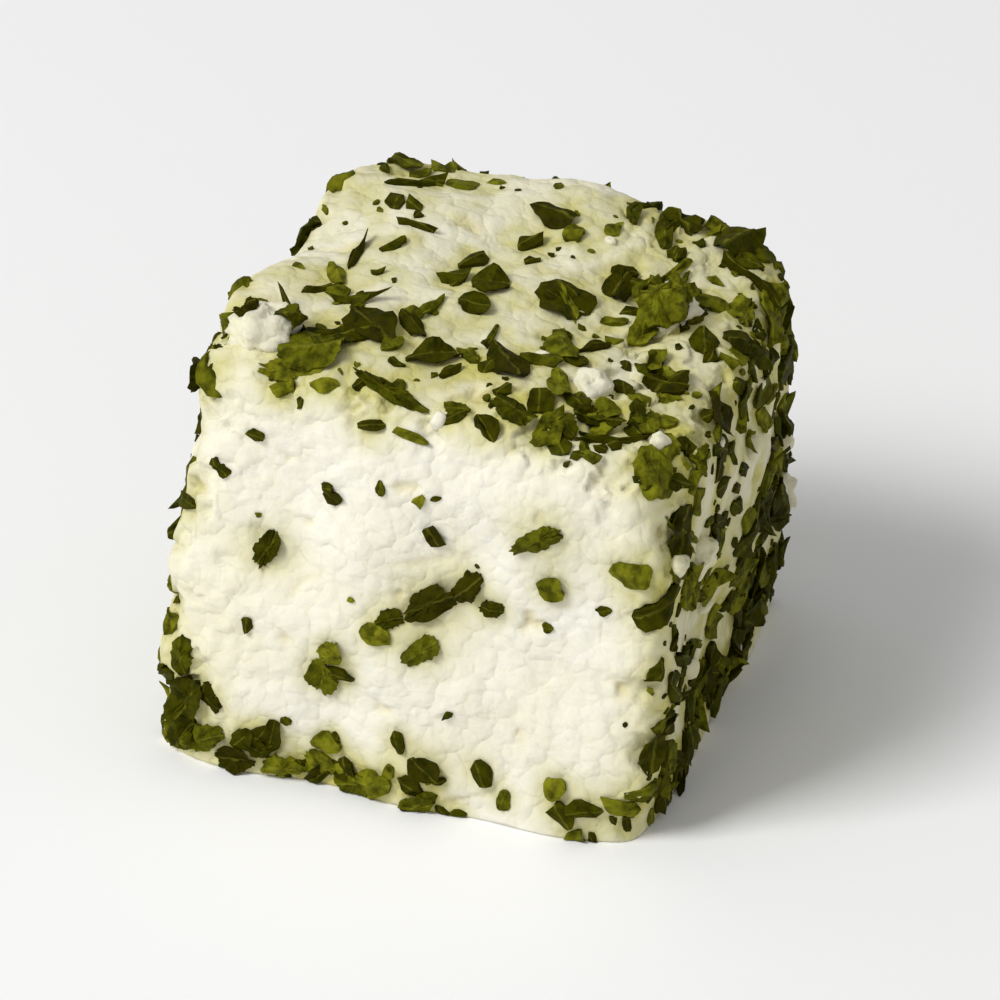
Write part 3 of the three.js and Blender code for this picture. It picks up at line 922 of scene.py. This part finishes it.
# Table, light and camera: a plain pale table, one broad soft light from the upper left and front, pale
# light from all round, and a long lens about thirty degrees above the table.
CAMERA_TURN = 22  # degrees to the right of the front
CAMERA_RISE = 30  # degrees above the table
CAMERA_AWAY = 750 * MM
CAMERA_NEAR = 10 * MM  # what is closer is not seen
VIEW_WIDTH = 40 * MM  # of what the picture shows at the cube
SENSOR = 36  # its width, in the millimetres that the camera counts in
TABLE_SIZE = 3000 * MM
LIGHT_AWAY = 600 * MM
LIGHT_SIZE = 240 * MM
LIGHT_TURN = -40
LIGHT_RISE = 48
LIGHT_POWER = 2.64  # watts
WORLD_LIGHT = 0.42
AIM_ACROSS = 0.3 * MM  # where the camera and the light point
AIM_ABOVE = 0.47 * HEIGHT


def back_along(turn, rise):
    """Direction from the cube to what stands turned that far to the right of its front and raised, in
    degrees."""
    a, e = np.radians(turn), np.radians(rise)
    return Vector((np.sin(a) * np.cos(e), -np.cos(a) * np.cos(e), np.sin(e)))


def pale_table():
    """A plain, matt, nearly white table top."""
    material = bpy.data.materials.new("pale_table")
    material.use_nodes = True
    shader = material.node_tree.nodes["Principled BSDF"]
    shader.inputs["Base Color"].default_value = linear("#FBFBFB")
    shader.inputs["Roughness"].default_value = 0.6
    return material


half = TABLE_SIZE / 2
table_points = [(x, y, -LEAST_LIFT) for x, y in ((-half, -half), (half, -half), (half, half), (-half, half))]
piece("table", table_points, [(0, 1, 2, 3)], pale_table())

aim = Vector((AIM_ACROSS, 0, AIM_ABOVE))
lamp = bpy.data.lights.new("softbox", "AREA")
lamp.size = LIGHT_SIZE
lamp.energy = LIGHT_POWER
softbox = bpy.data.objects.new("softbox", lamp)
softbox.location = aim + back_along(LIGHT_TURN, LIGHT_RISE) * LIGHT_AWAY
softbox.rotation_euler = (-back_along(LIGHT_TURN, LIGHT_RISE)).to_track_quat("-Z", "Y").to_euler()
bpy.context.scene.collection.objects.link(softbox)

world = bpy.data.worlds.new("studio")
world.use_nodes = True
world.node_tree.nodes["Background"].inputs["Color"].default_value = (1, 1, 1, 1)
world.node_tree.nodes["Background"].inputs["Strength"].default_value = WORLD_LIGHT
bpy.context.scene.world = world
bpy.context.scene.view_settings.view_transform = "Standard"

camera = bpy.data.objects.new("camera", bpy.data.cameras.new("camera"))
camera.data.sensor_width = SENSOR
camera.data.lens = SENSOR * CAMERA_AWAY / VIEW_WIDTH
camera.data.clip_start = CAMERA_NEAR
camera.location = aim + back_along(CAMERA_TURN, CAMERA_RISE) * CAMERA_AWAY
camera.rotation_euler = (-back_along(CAMERA_TURN, CAMERA_RISE)).to_track_quat("-Z", "Y").to_euler()
bpy.context.scene.collection.objects.link(camera)
bpy.context.scene.camera = camera
